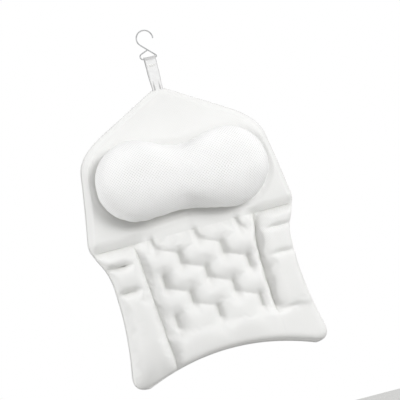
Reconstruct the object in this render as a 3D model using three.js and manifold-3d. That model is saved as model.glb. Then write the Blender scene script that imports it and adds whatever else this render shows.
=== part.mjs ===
// Bath pillow: a padded head panel with a kidney-shaped cushion, a quilted lumbar panel between two bolsters,
// suction cups behind, and a wire hook on a webbing strap above.
// Millimetres, +Z up, the front faces -Y. The origin is where the inside of the hook's bend rests on a rail.
// "down" is the distance below the apex of the head panel, and "depth" the distance in front of the sewn seams.
import * as THREE from 'three';
import { mergeVertices } from 'three/addons/utils/BufferGeometryUtils.js';
import Module from 'manifold-3d';

const wasm = await Module();
wasm.setup();
const { Manifold, Mesh: SolidMesh } = wasm;
const { degToRad, clamp, lerp, smoothstep } = THREE.MathUtils;

// general
const clearance = 0.3; // between pieces that touch
const sheet = 3; // air-mesh fabric of covers and back panels
const fillRoom = 0.8; // between a padding and the cover over it

// wire hook
const wireRadius = 1.3;
const bendRadius = 15.8; // centre line of the open bend
const tipAngle = -5; // where the bend ends, from +X
const barDrop = 38.7; // the bar below the centre of the bend
const barMargin = 0.6; // straight bar beyond each edge of the strap
const neckCornerRadius = 2.4; // bend from the neck into the bar
const loopCornerRadius = 5.5; // bend from the bar into the closing leg
const legRise = 22; // slope of the closing leg
const legGap = 2.4; // end of the closing leg to the centre line of the neck

// webbing strap
const strapWidth = 22;
const strapGather = 1; // drawn in at each edge where it is sewn
const strapLength = 60.5; // bar to apex seam
const webbing = 1.5;
const strapSewn = 14; // length over which the two legs are sewn together
const hangLean = 5.7; // lean at which the pillow hangs in balance below the strap

// head panel
const headLength = 269; // apex to the cross seam
const apexHalf = 12.5;
const roofDown = 62; // end of the straight roof edge
const roofHalf = 123.5;
const shoulderDown = 91.6; // corner that the shoulder rounds off
const shoulderHalf = 176;
const sideDown = 125; // start of the straight side edge
const sideHalf = 180.5;
const seamHalf = 203;
const hemRadius = 3; // rolled hem on the cross seam
const flapPlump = 6; // padding at the apex
const flapFlat = 40; // end of the thin flap
const headPlump = 16; // padding at the rim beside the cushion
const headRoll = 24; // width of the rounded rim
const seatDepth = 13; // flat seat of the cushion

// head cushion
const cushionDown = 164;
const cushionTilt = 3.7; // sewn a little askew
const lobeSpacing = 86; // centre of each lobe from the middle
const lobeRadius = 79;
const upperNotch = 58; // half height at the middle, upper side
const lowerNotch = 70;
const cushionHeight = 74;
const girthShare = 0.36; // height of the widest ring
const footShare = 0.88; // sewn ring, drawn in from the widest ring
const seatShare = 1.1; // flat seat, out from the widest ring
const saddle = 0.13; // drop of the crown between the lobes

// lumbar panel
const waistHalf = 175;
const waistDown = 360;
const flankHalf = 172; // pull of the side edge above and below the waist
const flankDown = 298;
const hipHalf = 173;
const hipDown = 425;
const footHalf = 191.5;
const footSideDown = 510; // start of the rounded foot
const footCorner = 194.5;
const footDown = 535; // lowest point of each foot
const footMiddle = 166;
const archDown = 502; // bottom edge on the centre line
const grooveTop = 120; // half spacing of the grooves at the cross seam
const grooveWaist = 107.5; // and at the bottom
const quiltPlump = 23;
const bandPlump = 27; // padding of the band across the bottom
const bandDown = 456; // where the right bolster ends on that band
const bandRise = 10;
const bolsterPlump = 31;
const seamRoll = 28; // rounding along the cross seam
const bottomRoll = 26;
const grooveRoll = 17;
const tuftRows = 5;
const tuftStart = 278; // first row
const tuftRowPitch = 38;
const tuftPitch = 83.5;
const tuftSink = 15;
const tuftSpread = 12;
const tuckDowns = [303, 353];
const tuckSink = 17;
const tuckSpread = 9;

// the soft pillow hangs a little askew
const seamDrift = 4.5; // drift of the cross seam to the right
const driftStart = 60;
const driftEnd = 215;
const sway = 3.6; // lean of the lumbar panel to the right
const rowTilt = 1.4; // rise of its rows to the right
const skewStart = 200;

// suction cups and eyelets
const topCupDown = 80;
const headCupDown = 208;
const headCupInset = 73; // in from the end of the cross seam
const waistCupDown = 334;
const waistCupInset = 34; // in from the waist
const footCupDown = 476;
const footCupInset = 46.5; // in from the side of the foot
const cupRadius = 24;
const cupRim = 2; // flat of the lip
const cupDrop = 11; // boss to lip
const bossRadius = 8;
const bossHeight = 3;
const cupWall = 2.2;
const neckRadius = 3.7;
const cupTravel = 2.5; // axial play in the eyelet
const stemHeadRadius = 6.5;
const stemHead = 3.5;
const eyeletRadius = 9;
const eyeletBarrel = 5.6;
const eyeletFlange = 1.3;

// derived levels
const bendCentre = wireRadius - bendRadius;
const barLevel = bendCentre - barDrop;
const apexLevel = barLevel - strapLength;
const rim = sheet + clearance; // depth of a cover's sewn edge
const headEnd = headLength - hemRadius - clearance;
const lumbarStart = headLength + hemRadius + clearance;
const headCups = [[0, topCupDown], ...pair(seamHalf - headCupInset, headCupDown)]; // x and down
const lumbarCups = [
  ...pair(waistHalf - waistCupInset, waistCupDown),
  ...pair(footHalf - footCupInset, footCupDown),
];

const materials = {
  mesh: new THREE.MeshStandardMaterial({ color: 0xf4f4f2, roughness: 0.95 }),
  fill: new THREE.MeshStandardMaterial({ color: 0xe9e9e4, roughness: 1 }),
  webbing: new THREE.MeshStandardMaterial({ color: 0xe6e6e4, roughness: 0.9 }),
  steel: new THREE.MeshStandardMaterial({ color: 0xc9ccd0, roughness: 0.15, metalness: 1 }),
  cup: new THREE.MeshStandardMaterial({ color: 0xdfe8ea, roughness: 0.12, transparent: true, opacity: 0.6 }),
  eyelet: new THREE.MeshStandardMaterial({ color: 0xf0f0ee, roughness: 0.4 }),
};

// a place on the left and its mirror image on the right
function pair(x, down) {
  return [[-x, down], [x, down]];
}

// where a place ends up on the pillow as it hangs
function skewed([x, down]) {
  const drift = seamDrift * smoothstep(down, driftStart, driftEnd);
  const lean = Math.tan(degToRad(sway)) * Math.max(0, down - headLength);
  const lift = Math.tan(degToRad(rowTilt)) * x * smoothstep(down, skewStart, headLength);
  return [x + drift + lean, down - lift];
}

function named(name, geometry, material) {
  const mesh = new THREE.Mesh(geometry, material);
  mesh.name = name;
  return mesh;
}

function geometryFrom(positions, indices) {
  const geometry = new THREE.BufferGeometry();
  geometry.setAttribute('position', new THREE.Float32BufferAttribute(positions, 3));
  geometry.setIndex(indices);
  return geometry;
}

function solidOf(geometry) {
  const plain = new THREE.BufferGeometry();
  plain.setAttribute('position', geometry.getAttribute('position'));
  plain.setIndex(geometry.getIndex());
  const welded = mergeVertices(plain, 1e-3);
  const triangles = [];
  const source = welded.getIndex().array;
  for (let i = 0; i < source.length; i += 3) {
    const [a, b, c] = [source[i], source[i + 1], source[i + 2]];
    if (a !== b && b !== c && c !== a) triangles.push(a, b, c);
  }
  return new Manifold(new SolidMesh({
    numProp: 3,
    vertProperties: new Float32Array(welded.getAttribute('position').array),
    triVerts: new Uint32Array(triangles),
  }));
}

function geometryOf(solid) {
  const mesh = solid.getMesh();
  return geometryFrom(Array.from(mesh.vertProperties), Array.from(mesh.triVerts));
}

function cutAway(geometry, tools) {
  let solid = solidOf(geometry);
  for (const tool of tools) solid = solid.subtract(solidOf(tool));
  return geometryOf(solid);
}

// half width of an outline at a distance down, from a path of (half width, down) points
function halfWidthOf(path) {
  const points = path.getPoints(16);
  return (down) => {
    let i = 1;
    while (i < points.length - 1 && points[i].y < down) i += 1;
    const share = clamp((down - points[i - 1].y) / (points[i].y - points[i - 1].y), 0, 1);
    return lerp(points[i - 1].x, points[i].x, share);
  };
}

const rise = (distance, reach) => Math.sin((Math.PI / 2) * clamp(distance / reach, 0, 1));

// the cells of a grid as triangles, facing the front or the back
function gridFaces(columns, rows, offset, facesBack) {
  const indices = [];
  for (let j = 0; j < rows; j += 1) {
    for (let i = 0; i < columns; i += 1) {
      const a = offset + j * (columns + 1) + i;
      const c = a + columns + 1;
      const [b, d] = [a + 1, c + 1];
      if (facesBack) indices.push(c, b, d, c, a, b);
      else indices.push(c, d, b, c, b, a);
    }
  }
  return indices;
}

// the points round the edge of a grid, anticlockwise as seen from the front
function gridEdge(columns, rows) {
  const stride = columns + 1;
  const edge = [];
  for (let j = 0; j < rows; j += 1) edge.push(j * stride);
  for (let i = 0; i < columns; i += 1) edge.push(rows * stride + i);
  for (let j = rows; j > 0; j -= 1) edge.push(j * stride + columns);
  for (let i = columns; i > 0; i -= 1) edge.push(i);
  return edge;
}

// A closed solid over a patch of the pillow's face. place gives (x, down) for shares across and along, and front and
// back give depths there. A back that is one number is a flat face.
function patchSolid({ columns, rows, place, front, back }) {
  const positions = [];
  const places = [];
  for (let j = 0; j <= rows; j += 1) {
    for (let i = 0; i <= columns; i += 1) places.push(place(i / columns, j / rows));
  }
  const settled = places.map(skewed);
  settled.forEach(([x, down], k) => positions.push(x, -front(...places[k]), -down));
  const indices = gridFaces(columns, rows, 0, false);
  const edge = gridEdge(columns, rows);
  const isFlat = typeof back === 'number';
  const behind = isFlat ? edge.map((_, k) => places.length + k) : edge.map((k) => places.length + k);
  if (isFlat) {
    const rim = edge.map((k) => new THREE.Vector2(settled[k][0], -settled[k][1]));
    for (const point of rim) positions.push(point.x, -back, point.y);
    for (const [a, b, c] of THREE.ShapeUtils.triangulateShape(rim, [])) indices.push(behind[a], behind[c], behind[b]);
  } else {
    settled.forEach(([x, down], k) => positions.push(x, -back(...places[k]), -down));
    indices.push(...gridFaces(columns, rows, places.length, true));
  }
  edge.forEach((p, k) => {
    const next = (k + 1) % edge.length;
    indices.push(edge[next], p, behind[k], edge[next], behind[k], behind[next]);
  });
  return geometryFrom(positions, indices);
}

// a flat sheet of the given (x, down) outline behind the sewn seams
function backSheet(outline, cups) {
  const shape = new THREE.Shape(outline.map(skewed).map(([x, down]) => new THREE.Vector2(x, -down)));
  for (const [x, down] of cups.map(skewed)) {
    const hole = new THREE.Path();
    hole.absarc(x, -down, eyeletBarrel + clearance, 0, 2 * Math.PI);
    shape.holes.push(hole);
  }
  const geometry = new THREE.ExtrudeGeometry(shape, { depth: sheet, bevelEnabled: false, curveSegments: 8 });
  geometry.rotateX(Math.PI / 2);
  return geometry.translate(0, sheet, 0);
}

// round pockets in a padding for the stem heads of the suction cups
function stemPockets(cups) {
  const length = clearance + stemHead + cupTravel + fillRoom;
  return cups.map(skewed).map(([x, down]) => {
    const pocket = new THREE.CylinderGeometry(stemHeadRadius + fillRoom, stemHeadRadius + fillRoom, 2 * length, 16);
    return pocket.translate(x, 0, -down);
  });
}

function wireHook() {
  const centre = new THREE.Vector2(0, 0);
  const barHalf = strapWidth / 2 + barMargin;
  const neckCorner = new THREE.Vector2(barHalf, neckCornerRadius - barDrop);
  const loopCorner = new THREE.Vector2(-barHalf, loopCornerRadius - barDrop);
  const neckAngle = neckCorner.angle() - Math.acos((bendRadius + neckCornerRadius) / neckCorner.length());
  const neckHeading = new THREE.Vector2(-Math.sin(neckAngle), Math.cos(neckAngle));
  const legAngle = degToRad(legRise);
  const legHeading = new THREE.Vector2(Math.cos(legAngle), Math.sin(legAngle));
  const points = [];
  const arc = (middle, radius, from, to, steps) => {
    for (let i = 0; i <= steps; i += 1) {
      const angle = lerp(from, to, i / steps);
      points.push(new THREE.Vector2(Math.cos(angle), Math.sin(angle)).multiplyScalar(radius).add(middle));
    }
  };
  arc(centre, bendRadius, degToRad(tipAngle), neckAngle, 18);
  const neckStart = points[points.length - 1].clone();
  arc(neckCorner, neckCornerRadius, neckAngle - Math.PI, -Math.PI / 2, 6);
  arc(loopCorner, loopCornerRadius, -Math.PI / 2, legAngle + Math.PI / 2 - 2 * Math.PI, 8);
  const legStart = points[points.length - 1].clone();
  const toNeck = neckStart.clone().sub(legStart).cross(neckHeading) / legHeading.cross(neckHeading);
  const stop = legGap / Math.abs(legHeading.cross(neckHeading));
  points.push(legStart.clone().addScaledVector(legHeading, toNeck - stop));
  return planarTube(points, wireRadius, 8).translate(0, 0, bendCentre);
}

// a round wire along points of the XZ plane, closed at both ends
function planarTube(points, radius, sides) {
  const positions = [];
  const indices = [];
  const last = points.length - 1;
  points.forEach((point, i) => {
    const before = points[Math.max(i - 1, 0)];
    const after = points[Math.min(i + 1, last)];
    const incoming = point.clone().sub(before).normalize();
    const outgoing = after.clone().sub(point).normalize();
    const along = incoming.clone().add(outgoing).normalize();
    const widen = i === 0 || i === last ? 1 : 1 / Math.sqrt((1 + incoming.dot(outgoing)) / 2);
    for (let k = 0; k < sides; k += 1) {
      const angle = (2 * Math.PI * (k + 0.5)) / sides;
      const across = radius * widen * Math.cos(angle);
      positions.push(point.x - along.y * across, radius * Math.sin(angle), point.y + along.x * across);
    }
  });
  for (let i = 0; i < last; i += 1) {
    for (let k = 0; k < sides; k += 1) {
      const a = i * sides + k;
      const b = i * sides + ((k + 1) % sides);
      indices.push(a, b + sides, b, a, a + sides, b + sides);
    }
  }
  for (let k = 1; k < sides - 1; k += 1) {
    indices.push(0, k, k + 1);
    indices.push(last * sides, last * sides + k + 1, last * sides + k);
  }
  return geometryFrom(positions, indices);
}

// The strap as a loop seen from the side: round the bar at the top, both legs sewn together at the apex seam.
function webbingStrap() {
  const inner = wireRadius + clearance;
  const outer = inner + webbing;
  const end = webbing + clearance;
  const loop = new THREE.Shape();
  loop.absarc(0, strapLength, outer, 0, Math.PI, false);
  loop.absarc(0, 0, end, Math.PI, 2 * Math.PI, false);
  loop.closePath();
  const opening = new THREE.Path();
  opening.absarc(0, strapLength, inner, 0, Math.PI, false);
  opening.lineTo(0, strapSewn);
  opening.closePath();
  loop.holes.push(opening);
  const geometry = new THREE.ExtrudeGeometry(loop, { depth: strapWidth, bevelEnabled: false, curveSegments: 10 });
  geometry.translate(0, 0, -strapWidth / 2);
  geometry.applyMatrix4(new THREE.Matrix4().makeBasis(
    new THREE.Vector3(0, 1, 0),
    new THREE.Vector3(0, 0, 1),
    new THREE.Vector3(1, 0, 0),
  ));
  const position = geometry.getAttribute('position');
  for (let i = 0; i < position.count; i += 1) {
    const gathered = 1 - smoothstep(position.getZ(i), 0, strapLength / 2);
    position.setX(i, position.getX(i) * (1 - (gathered * 2 * strapGather) / strapWidth));
  }
  return geometry.translate(0, 0, apexLevel);
}

const headHalfWidth = halfWidthOf(
  new THREE.Path()
    .moveTo(apexHalf, 0)
    .lineTo(roofHalf, roofDown)
    .quadraticCurveTo(shoulderHalf, shoulderDown, sideHalf, sideDown)
    .lineTo(seamHalf, headLength),
);

const lumbarHalfWidth = halfWidthOf(
  new THREE.Path()
    .moveTo(seamHalf, headLength)
    .quadraticCurveTo(flankHalf, flankDown, waistHalf, waistDown)
    .quadraticCurveTo(hipHalf, hipDown, footHalf, footSideDown)
    .quadraticCurveTo(footCorner, footDown, footMiddle, footDown),
);

const grooveHalf = (down) => grooveWaist + (grooveTop - grooveWaist) * (1 - rise(down - headLength, waistDown - headLength));
const bottomEdge = (x) => lerp(archDown, footDown, (x / footMiddle) ** 2);

// half height of the cushion's outline above or below its middle line
function lobeHalf(x, notch) {
  const share = clamp(Math.abs(x) / lobeSpacing, 0, 1);
  return lerp(notch, lobeRadius, (1 - Math.cos(Math.PI * share)) / 2);
}

// The cushion's outline as spokes from its middle line, clockwise from the upper left as seen from the front.
function cushionSpokes(steps) {
  const spokes = [];
  for (let i = 0; i < steps; i += 1) {
    const x = lerp(-lobeSpacing, lobeSpacing, i / steps);
    spokes.push({ root: x, heading: [0, 1], length: lobeHalf(x, upperNotch) });
  }
  for (let i = 0; i < steps; i += 1) {
    const angle = Math.PI * (0.5 - i / steps);
    spokes.push({ root: lobeSpacing, heading: [Math.cos(angle), Math.sin(angle)], length: lobeRadius });
  }
  for (let i = 0; i < steps; i += 1) {
    const x = lerp(lobeSpacing, -lobeSpacing, i / steps);
    spokes.push({ root: x, heading: [0, -1], length: lobeHalf(x, lowerNotch) });
  }
  for (let i = 0; i < steps; i += 1) {
    const angle = -Math.PI * (0.5 + i / steps);
    spokes.push({ root: -lobeSpacing, heading: [Math.cos(angle), Math.sin(angle)], length: lobeRadius });
  }
  return spokes;
}

// shares of radius and height from the sewn ring over the widest ring to the crown
function cushionProfile() {
  const below = Math.acos(footShare);
  const profile = [];
  for (const share of [1, 0.5]) {
    const angle = share * below;
    profile.push([Math.cos(angle), girthShare * (1 - Math.sin(angle) / Math.sin(below))]);
  }
  for (let i = 0; i <= 6; i += 1) {
    const angle = (Math.PI / 2) * (i / 6);
    profile.push([Math.cos(angle), lerp(girthShare, 1, Math.sin(angle))]);
  }
  return profile;
}

// positions of the cushion's surface drawn in by inset, ring after ring, in the cushion's own frame
function cushionRings(steps, inset) {
  return cushionProfile().map(([radiusShare, heightShare]) => cushionSpokes(steps).map((spoke) => {
    const reach = radiusShare * (spoke.length - inset);
    const x = spoke.root + spoke.heading[0] * reach;
    const crown = 1 - saddle * (1 + Math.cos(Math.PI * clamp(x / lobeSpacing, -1, 1))) / 2;
    const height = heightShare * (cushionHeight - inset) * lerp(1, crown, heightShare);
    return [x, -height, spoke.heading[1] * reach];
  }));
}

function ringFaces(ringCount, stride, offset, flip) {
  const indices = [];
  for (let r = 0; r < ringCount - 1; r += 1) {
    for (let s = 0; s < stride; s += 1) {
      const a = offset + r * stride + s;
      const b = offset + r * stride + ((s + 1) % stride);
      const [c, d] = [a + stride, b + stride];
      if (flip) indices.push(a, b, d, a, d, c);
      else indices.push(a, d, b, a, c, d);
    }
  }
  return indices;
}

function cushionCover(steps) {
  const outer = cushionRings(steps, 0);
  const inner = cushionRings(steps, sheet);
  const stride = outer[0].length;
  const layer = outer.length * stride;
  const indices = ringFaces(outer.length, stride, 0, false);
  indices.push(...ringFaces(inner.length, stride, layer, true));
  for (let s = 0; s < stride; s += 1) {
    const next = (s + 1) % stride;
    indices.push(s, layer + next, layer + s, s, next, layer + next);
  }
  return geometryFrom([...outer.flat(2), ...inner.flat(2)], indices);
}

function cushionFill(steps) {
  const rings = cushionRings(steps, sheet + fillRoom);
  const stride = rings[0].length;
  const indices = ringFaces(rings.length, stride, 0, false);
  const base = rings[0].map(([x, , z]) => new THREE.Vector2(x, z));
  for (const [a, b, c] of THREE.ShapeUtils.triangulateShape(base, [])) indices.push(a, c, b);
  return geometryFrom(rings.flat(2), indices);
}

// how far a point of the head panel lies from the cushion's middle line, as a share of the outline there
function cushionShare(x, down) {
  const turn = degToRad(cushionTilt);
  const up = cushionDown - down;
  const along = x * Math.cos(turn) - up * Math.sin(turn);
  const across = x * Math.sin(turn) + up * Math.cos(turn);
  const root = clamp(along, -lobeSpacing, lobeSpacing);
  const beyond = along - root;
  const outline = beyond === 0 ? lobeHalf(root, across > 0 ? upperNotch : lowerNotch) : lobeRadius;
  return Math.hypot(beyond, across) / outline;
}

function headDepth(x, down) {
  const half = headHalfWidth(down);
  const slope = headHalfWidth(down + 1) - headHalfWidth(down - 1);
  const fromSide = (half - Math.abs(x)) / Math.hypot(1, slope / 2);
  const plump = lerp(flapPlump, headPlump, smoothstep(down, flapFlat, sideDown + headRoll));
  const rounded = rise(fromSide, headRoll) * rise(headEnd - down, headRoll) * rise(down + headRoll / 2, headRoll);
  const padded = rim + plump * rounded;
  const seated = 1 - smoothstep(cushionShare(x, down), seatShare, seatShare + 0.3);
  return lerp(padded, Math.min(seatDepth, padded), seated * rise(fromSide, headRoll));
}

const tufts = [];
for (let row = 0; row < tuftRows; row += 1) {
  const places = row % 2 === 0 ? [-1, 0, 1] : [-0.5, 0.5];
  for (const place of places) tufts.push([place * tuftPitch, tuftStart + row * tuftRowPitch]);
}

// share of the bottom band at a place: on the right it runs on under the bolster, without a groove
const bandShare = (down) => smoothstep(down, bandDown - bandRise, bandDown + bandRise);

function quiltDepth(x, down) {
  const band = bandShare(down);
  const beside = lerp(rise(grooveHalf(down) - Math.abs(x), grooveRoll), 1, x > 0 ? band : 0);
  const rounded = beside * rise(down - lumbarStart, seamRoll) * rise(bottomEdge(x) - down, bottomRoll);
  const sunk = tufts.map(([tuftX, tuftDown]) => {
    const away = Math.hypot(x - tuftX, down - tuftDown);
    return tuftSink * Math.exp(-((away / tuftSpread) ** 2));
  });
  return rim + Math.max(0, lerp(quiltPlump, bandPlump, band) - Math.max(...sunk)) * rounded;
}

function bolsterDepth(x, down) {
  const inner = grooveHalf(down);
  const outer = lumbarHalfWidth(down);
  const share = clamp((Math.abs(x) - inner) / (outer - inner), 0, 1);
  const tubular = Math.sin(Math.PI * share) ** 0.75;
  const band = x > 0 ? bandShare(down) : 0;
  const plump = lerp(bolsterPlump, bandPlump, band);
  const crown = lerp(tubular, share < 0.5 ? 1 : tubular, band);
  const bottom = bottomEdge(Math.min(Math.abs(x), footMiddle));
  const rounded = crown * rise(down - lumbarStart, seamRoll) * rise(bottom - down, bottomRoll);
  const sunk = tuckDowns.map((tuck) => tuckSink * share * Math.exp(-(((down - tuck) / tuckSpread) ** 2)));
  if (x > 0) sunk.push(tuckSink * (1 - share) * Math.exp(-(((down - bandDown) / tuckSpread) ** 2)));
  return rim + (plump - Math.max(...sunk)) * rounded;
}

// spaces the cells of a patch so that they crowd towards its rounded edges
const crowd = (share) => (1 - Math.cos(Math.PI * share)) / 2;
const spread = (share) => lerp(share, crowd(share), 0.6);

// (x, down) places over each part of the face, for shares across and along
function headPlace(u, v) {
  const down = lerp(0, headEnd, v);
  return [lerp(-1, 1, spread(u)) * headHalfWidth(down), down];
}

function quiltPlace(u, v) {
  const across = lerp(-1, 1, spread(u));
  const down = lerp(lumbarStart, bottomEdge(across * grooveWaist), spread(v));
  return [across * (grooveHalf(down) - clearance / 2), down];
}

function bolsterPlace(side) {
  return (u, v) => {
    const share = side < 0 ? 1 - u : u;
    const along = spread(v);
    const down = lerp(lumbarStart, bottomEdge(lerp(grooveWaist, footMiddle, share)), along);
    const outer = lumbarHalfWidth(lerp(lumbarStart, footDown, along));
    return [side * lerp(grooveHalf(down) + clearance / 2, outer, share), down];
  };
}

// a cover follows the depth it is given, one sheet thick
function cover(columns, rows, place, depth) {
  return patchSolid({ columns, rows, place, front: depth, back: (x, down) => depth(x, down) - sheet });
}

// A padding lies on the back panel and stops short of the cover in front of it. It has the cover's own cells, less
// some along the top, bottom and sides.
function padding(columns, rows, place, depth, trim) {
  return patchSolid({
    columns: columns - 2 * trim.side,
    rows: rows - trim.top - trim.bottom,
    place: (u, v) => place(
      lerp(trim.side / columns, 1 - trim.side / columns, u),
      lerp(trim.top / rows, 1 - trim.bottom / rows, v),
    ),
    front: (x, down) => depth(x, down) - sheet - fillRoom,
    back: clearance,
  });
}

function headOutline() {
  const right = [];
  for (let j = 0; j <= 24; j += 1) right.push(headPlace(1, j / 24));
  const left = right.map(([x, down]) => [-x, down]).reverse();
  return [...right, [seamHalf, headLength], [-seamHalf, headLength], ...left];
}

function lumbarOutline() {
  const bolster = bolsterPlace(1);
  const right = [];
  for (let j = 0; j <= 22; j += 1) right.push(bolster(1, j / 22));
  for (let i = 9; i >= 0; i -= 1) right.push(bolster(i / 10, 1));
  for (let i = 19; i > 10; i -= 1) right.push(quiltPlace(i / 20, 1));
  const left = right.map(([x, down]) => [-x, down]).reverse();
  return [...right, [0, archDown], ...left];
}

function headBackPanel() {
  const hem = new THREE.CylinderGeometry(hemRadius, hemRadius, 2 * seamHalf, 12);
  hem.rotateZ(Math.PI / 2).rotateY(-degToRad(rowTilt)).translate(seamDrift, 0, -headLength);
  return geometryOf(solidOf(backSheet(headOutline(), headCups)).add(solidOf(hem)));
}

// one cup about its own axis: stem head inside the pillow, neck through the eyelet, boss and bell behind
function suctionCup() {
  const shoulder = sheet + clearance + eyeletFlange + clearance + cupTravel;
  const bell = shoulder + bossHeight;
  const lip = bell + cupDrop;
  const roof = bell - bossHeight + cupWall;
  const profile = [
    [0, -clearance - stemHead],
    [stemHeadRadius * 0.75, -clearance - stemHead],
    [stemHeadRadius, -clearance - stemHead / 2],
    [stemHeadRadius, -clearance],
    [neckRadius, -clearance],
    [neckRadius, shoulder],
    [bossRadius, shoulder],
    [bossRadius, bell],
    [lerp(bossRadius, cupRadius, 0.6), lerp(bell, lip, 0.42)],
    [cupRadius, lip - cupWall / 2],
    [cupRadius, lip],
    [cupRadius - cupRim, lip],
    [lerp(bossRadius, cupRadius, 0.45), lerp(roof, lip, 0.6)],
    [0, roof],
  ];
  const points = profile.map(([radius, along]) => new THREE.Vector2(radius, along));
  return new THREE.LatheGeometry(points, 16);
}

function eyelet() {
  const hole = neckRadius + clearance;
  const back = sheet + clearance;
  const profile = [
    [hole, 0],
    [eyeletBarrel, 0],
    [eyeletBarrel, back],
    [eyeletRadius, back],
    [eyeletRadius, back + eyeletFlange],
    [hole, back + eyeletFlange],
    [hole, 0],
  ];
  const points = profile.map(([radius, along]) => new THREE.Vector2(radius, along));
  return new THREE.LatheGeometry(points, 16);
}

function cupMeshes(places, firstNumber) {
  return places.map(skewed).flatMap(([x, down], i) => {
    const cup = named(`suction_cup_${firstNumber + i}`, suctionCup(), materials.cup);
    const ring = named(`cup_eyelet_${firstNumber + i}`, eyelet(), materials.eyelet);
    cup.position.set(x, 0, -down);
    ring.position.set(x, 0, -down);
    return [cup, ring];
  });
}

function headSection() {
  const section = new THREE.Group();
  const wadding = padding(18, 18, headPlace, headDepth, { side: 2, top: 3, bottom: 1 });
  section.add(named('head_front_panel', cover(18, 18, headPlace, headDepth), materials.mesh));
  section.add(named('head_wadding', cutAway(wadding, stemPockets(headCups)), materials.fill));
  section.add(named('head_back_panel', headBackPanel(), materials.mesh));
  const cushion = new THREE.Group();
  cushion.position.set(0, -seatDepth - clearance, -cushionDown);
  cushion.rotation.y = degToRad(cushionTilt);
  cushion.add(named('head_cushion_cover', cushionCover(12), materials.mesh));
  cushion.add(named('head_cushion_fill', cushionFill(12), materials.fill));
  section.add(cushion, ...cupMeshes(headCups, 1));
  return section;
}

function lumbarSection() {
  const section = new THREE.Group();
  const inside = { side: 1, top: 1, bottom: 1 };
  section.add(named('lumbar_quilt_cover', cover(20, 24, quiltPlace, quiltDepth), materials.mesh));
  section.add(named('lumbar_batting', padding(20, 24, quiltPlace, quiltDepth, inside), materials.fill));
  for (const [name, side] of [['left', -1], ['right', 1]]) {
    const place = bolsterPlace(side);
    const fill = padding(10, 22, place, bolsterDepth, inside);
    const pockets = stemPockets(lumbarCups.filter(([x]) => x * side > 0));
    section.add(named(`${name}_bolster_cover`, cover(10, 22, place, bolsterDepth), materials.mesh));
    section.add(named(`${name}_bolster_fill`, cutAway(fill, pockets), materials.fill));
  }
  section.add(named('lumbar_back_panel', backSheet(lumbarOutline(), lumbarCups), materials.mesh));
  section.add(...cupMeshes(lumbarCups, headCups.length + 1));
  return section;
}

const group = new THREE.Group();
const hanging = new THREE.Group();
const pillow = new THREE.Group();
pillow.position.z = -webbing - 3 * clearance;
pillow.add(headSection(), lumbarSection());
hanging.position.z = apexLevel;
hanging.rotation.x = degToRad(hangLean);
hanging.add(pillow);
group.add(named('hook', wireHook(), materials.steel));
group.add(named('hanging_strap', webbingStrap(), materials.webbing));
group.add(hanging);

export default group;
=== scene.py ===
import math
import bmesh
import bpy
import numpy as np
from mathutils import Matrix, Vector


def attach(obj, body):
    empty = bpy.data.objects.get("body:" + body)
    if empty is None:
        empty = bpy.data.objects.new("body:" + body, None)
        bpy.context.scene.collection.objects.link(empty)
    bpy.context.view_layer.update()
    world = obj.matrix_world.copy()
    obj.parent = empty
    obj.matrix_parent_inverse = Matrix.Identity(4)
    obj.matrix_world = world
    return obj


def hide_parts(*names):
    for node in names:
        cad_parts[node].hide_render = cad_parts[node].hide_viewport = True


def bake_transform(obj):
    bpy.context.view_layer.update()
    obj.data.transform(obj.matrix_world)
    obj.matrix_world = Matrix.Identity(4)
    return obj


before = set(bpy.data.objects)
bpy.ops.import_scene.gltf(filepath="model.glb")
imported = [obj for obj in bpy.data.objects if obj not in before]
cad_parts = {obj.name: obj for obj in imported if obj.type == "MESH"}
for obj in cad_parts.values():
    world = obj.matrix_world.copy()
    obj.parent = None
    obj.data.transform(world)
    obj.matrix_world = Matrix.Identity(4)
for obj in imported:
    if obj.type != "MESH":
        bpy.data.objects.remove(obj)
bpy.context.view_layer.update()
print("frame loaded:", len(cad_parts), "nodes")


class Sizes(dict):  # sizes or looks of one piece, by name
    __getattr__ = dict.__getitem__


# Bath pillow. Sizes are millimetres on the pillow: x across, down from the apex, depth in front of the sewn seams.
hang = Sizes(apexLevel=-113.7, seamDrop=2.4, lean=5.7, barLevel=-53.2)
pillowFrame = (Matrix.Translation((0, 0, hang.apexLevel / 1000))
               @ Matrix.Rotation(math.radians(hang.lean), 4, "X")
               @ Matrix.Translation((0, 0, -hang.seamDrop / 1000)))
pillowTurn = np.array(pillowFrame.to_3x3())
pillowShift = np.array(pillowFrame.translation)


# small sums used all over
def rise(distance, reach):
    return np.sin(np.pi / 2 * np.clip(distance / reach, 0, 1))


def ease(value, low, high):
    share = np.clip((value - low) / (high - low), 0, 1)
    return share * share * (3 - 2 * share)


def mix(a, b, share):
    return a + (b - a) * share


def bell(distance, spread):
    return np.exp(-(distance / spread) ** 2)


def bow(start, pull, end, steps=40):  # curve from start to end, drawn towards pull
    start, pull, end = (np.array(p, float) for p in (start, pull, end))
    t = np.linspace(0, 1, steps + 1)[:, None]
    return (1 - t) ** 2 * start + 2 * t * (1 - t) * pull + t * t * end


def headings(path):
    ahead = np.gradient(path, axis=0)
    return ahead / np.maximum(np.linalg.norm(ahead, axis=1, keepdims=True), 1e-12)


def lengthAlong(path):
    return np.concatenate([[0], np.cumsum(np.linalg.norm(np.diff(path, axis=0), axis=1))])


def beside(*parts):  # rows of numbers side by side, as places or points
    return np.stack([np.ravel(part) for part in np.broadcast_arrays(*parts)], 1)


def onPillow(x, depth, down):  # pillow places in mm to points of the frame in metres
    return beside(x, np.negative(depth), np.negative(down)) / 1000 @ pillowTurn.T + pillowShift


# things in the scene
def setUp(thing, **settings):
    for key, value in settings.items():
        setattr(thing, key, value)
    return thing


def intoScene(name, data, **settings):
    thing = bpy.data.objects.new(name, data)
    bpy.context.scene.collection.objects.link(thing)
    return setUp(thing, **settings)


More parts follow.
